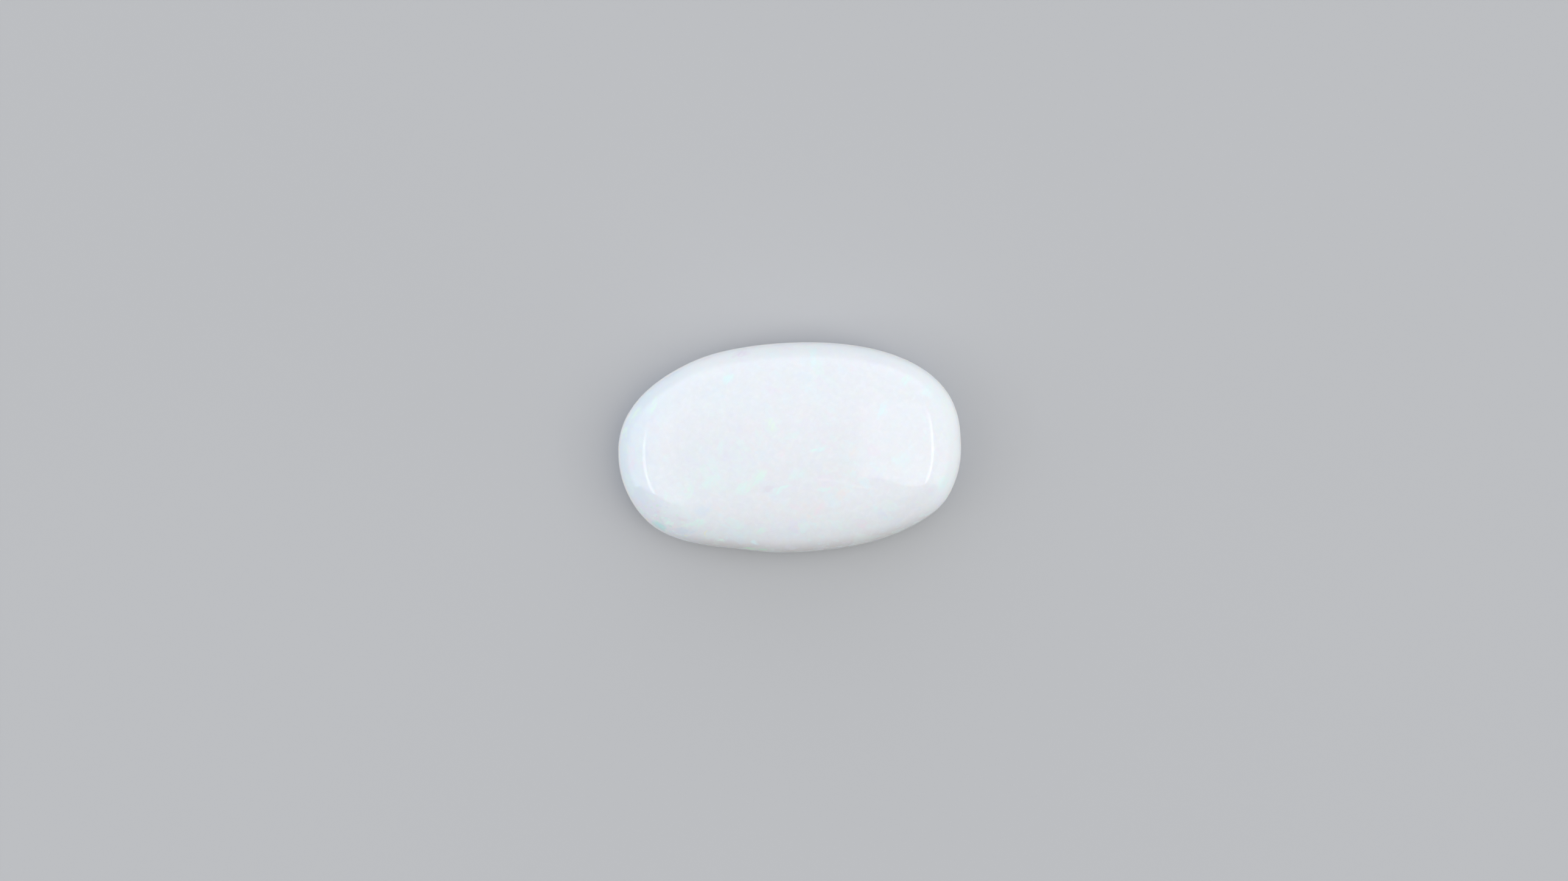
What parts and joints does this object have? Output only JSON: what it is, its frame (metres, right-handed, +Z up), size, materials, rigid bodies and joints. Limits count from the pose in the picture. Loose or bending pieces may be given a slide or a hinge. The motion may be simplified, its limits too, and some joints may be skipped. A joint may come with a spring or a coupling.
{
  "type": "polished opal cabochon",
  "caption": "Freeform oval cabochon of milky white opal with flecks of play-of-colour, domed on top and flat at the back.",
  "frame": {"origin": "middle of the stone's outline, on its flat back, which is its lowest point", "axes": "+X along the stone's length, towards its squarer end; +Y across it; +Z up, out of the dome"},
  "size_m": [0.025, 0.0154, 0.0062],
  "materials": {
    "opal": "polished"
  },
  "bodies": {
    "root": {"opal": "opal"}
  },
  "joints": []
}
